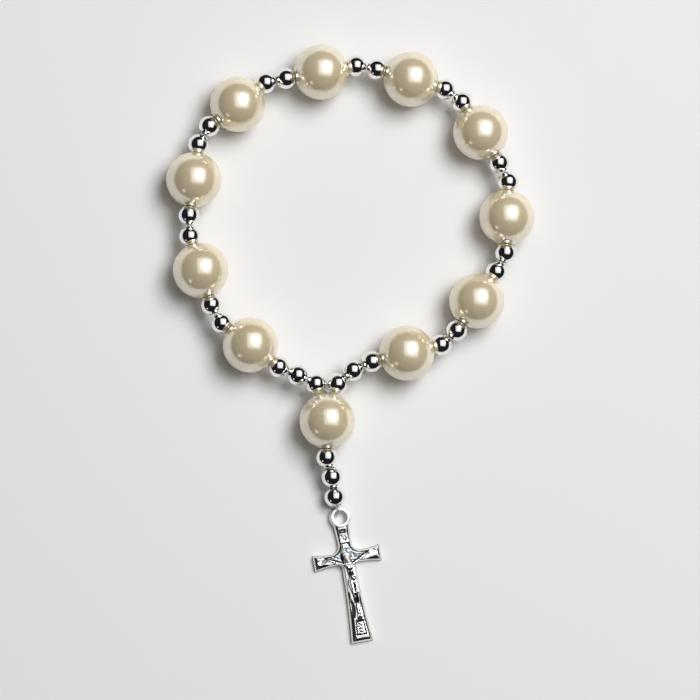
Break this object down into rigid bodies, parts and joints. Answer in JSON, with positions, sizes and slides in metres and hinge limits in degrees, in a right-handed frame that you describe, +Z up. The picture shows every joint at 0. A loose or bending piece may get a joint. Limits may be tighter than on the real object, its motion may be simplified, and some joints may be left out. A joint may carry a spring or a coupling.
{
  "type": "rosary bracelet",
  "caption": "Stretch rosary bracelet of pearls and silver balls strung on clear elastic, with a crucifix on a short beaded stem. It lies flat.",
  "frame": {"origin": "middle of the wrist opening, on the surface that the pearls rest on", "axes": "+Z up out of the surface, +Y away from the crucifix along the length of the bracelet, +X to the right of the picture"},
  "size_m": [0.0667, 0.1083, 0.01],
  "materials": {
    "pearl": "cream pearl coat on a glass core, soft satin lustre, fine scratches, warm collar of bare glass round each drill mouth",
    "silver_ball": "mirror-polished silver-coloured metal, lightly handled",
    "elastic": "clear elastic strand, slightly milky where it is stretched",
    "crucifix": "cast silver-coloured alloy, polished on the raised faces and blackened in the recesses"
  },
  "bodies": {
    "root": {"silver_1": "silver_ball", "silver_2": "silver_ball", "silver_3": "silver_ball", "pearl_1": "pearl", "silver_4": "silver_ball", "silver_5": "silver_ball", "pearl_2": "pearl", "silver_6": "silver_ball", "silver_7": "silver_ball", "pearl_3": "pearl", "silver_8": "silver_ball", "silver_9": "silver_ball", "pearl_4": "pearl", "silver_10": "silver_ball", "silver_11": "silver_ball", "pearl_5": "pearl", "silver_12": "silver_ball", "silver_13": "silver_ball", "pearl_6": "pearl", "silver_14": "silver_ball", "silver_15": "silver_ball", "pearl_7": "pearl", "silver_16": "silver_ball", "silver_17": "silver_ball", "pearl_8": "pearl", "silver_18": "silver_ball", "silver_19": "silver_ball", "pearl_9": "pearl", "silver_20": "silver_ball", "silver_21": "silver_ball", "pearl_10": "pearl", "silver_22": "silver_ball", "silver_23": "silver_ball", "silver_24": "silver_ball", "stem_pearl": "pearl", "stem_silver_1": "silver_ball", "stem_silver_2": "silver_ball", "stem_silver_3": "silver_ball", "elastic": "elastic", "crucifix": "crucifix"}
  },
  "joints": []
}
